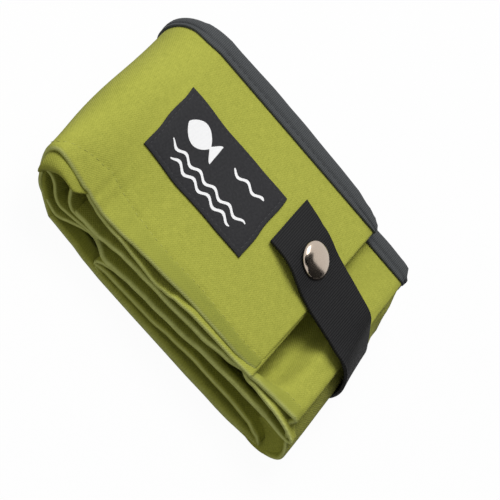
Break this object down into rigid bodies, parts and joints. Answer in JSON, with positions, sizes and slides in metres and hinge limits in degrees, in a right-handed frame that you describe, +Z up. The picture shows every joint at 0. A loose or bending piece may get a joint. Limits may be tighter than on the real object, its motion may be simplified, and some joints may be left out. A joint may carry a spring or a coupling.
{
  "type": "foldable litter box",
  "caption": "Foldable fabric litter box, packed flat: coated cloth tub folded in thirds with a bound rim, a sewn label and a webbing strap that snaps over the top flap.",
  "frame": {"origin": "centre of the bundle's footprint, on the surface that it lies on", "axes": "+X along the folded bundle, from the round shoulder fold to the open end with the strap; +Y to the bound rim of the tub, -Y to its folded base; +Z up through the layers, to the label and the snap"},
  "size_m": [0.1482, 0.0984, 0.04],
  "materials": {
    "green_cloth": "coated woven polyester, satin to matte",
    "rim_tape": "grosgrain binding tape, matte",
    "label_cloth": "dark woven patch, matte",
    "webbing": "ribbed webbing, matte",
    "nickel": "polished nickel"
  },
  "bodies": {
    "lower_bundle": {"back_wall_end": "green_cloth", "back_wall_inner": "green_cloth", "back_wall_shoulder": "green_cloth", "back_wall_underside": "green_cloth", "base_pleat_inner": "green_cloth", "base_pleat_underside": "green_cloth", "end_wall_inner": "green_cloth", "front_wall_end": "green_cloth", "front_wall_inner": "green_cloth", "front_wall_shoulder": "green_cloth", "front_wall_underside": "green_cloth", "rim_binding_end_back": "rim_tape", "rim_binding_end_front": "rim_tape", "rim_binding_inner_back": "rim_tape", "rim_binding_inner_front": "rim_tape", "rim_binding_shoulder_back": "rim_tape", "rim_binding_shoulder_front": "rim_tape", "rim_binding_underside_back": "rim_tape", "rim_binding_underside_front": "rim_tape", "strap_tail": "webbing"},
    "top_flap": {"back_wall_flap": "green_cloth", "base_pleat_flap": "green_cloth", "end_wall_flap": "green_cloth", "front_wall_flap": "green_cloth", "label_patch": "label_cloth", "rim_binding_flap_back": "rim_tape", "rim_binding_flap_front": "rim_tape", "snap_post": "nickel", "snap_stud": "nickel"},
    "strap_riser": {"strap_riser": "webbing"},
    "strap_tongue": {"snap_cap": "nickel", "snap_socket": "nickel", "strap_tongue": "webbing"}
  },
  "joints": [
    {"name": "flap_fold", "type": "hinge", "parent": "lower_bundle", "child": "top_flap", "pos_m": [-0.07814, 0, 0.01675], "axis": [0, -1, 0], "range_deg": [0, 175], "deforming": ["front_wall_shoulder", "back_wall_shoulder", "rim_binding_shoulder_front", "rim_binding_shoulder_back"]},
    {"name": "strap_swing", "type": "hinge", "parent": "lower_bundle", "child": "strap_riser", "pos_m": [0.0724, 0, 0.00862], "axis": [0, 1, 0], "range_deg": [0, 105]},
    {"name": "strap_bend", "type": "hinge", "parent": "strap_riser", "child": "strap_tongue", "pos_m": [0.05936, 0, 0.0325], "axis": [0, 1, 0], "range_deg": [0, 75]}
  ]
}
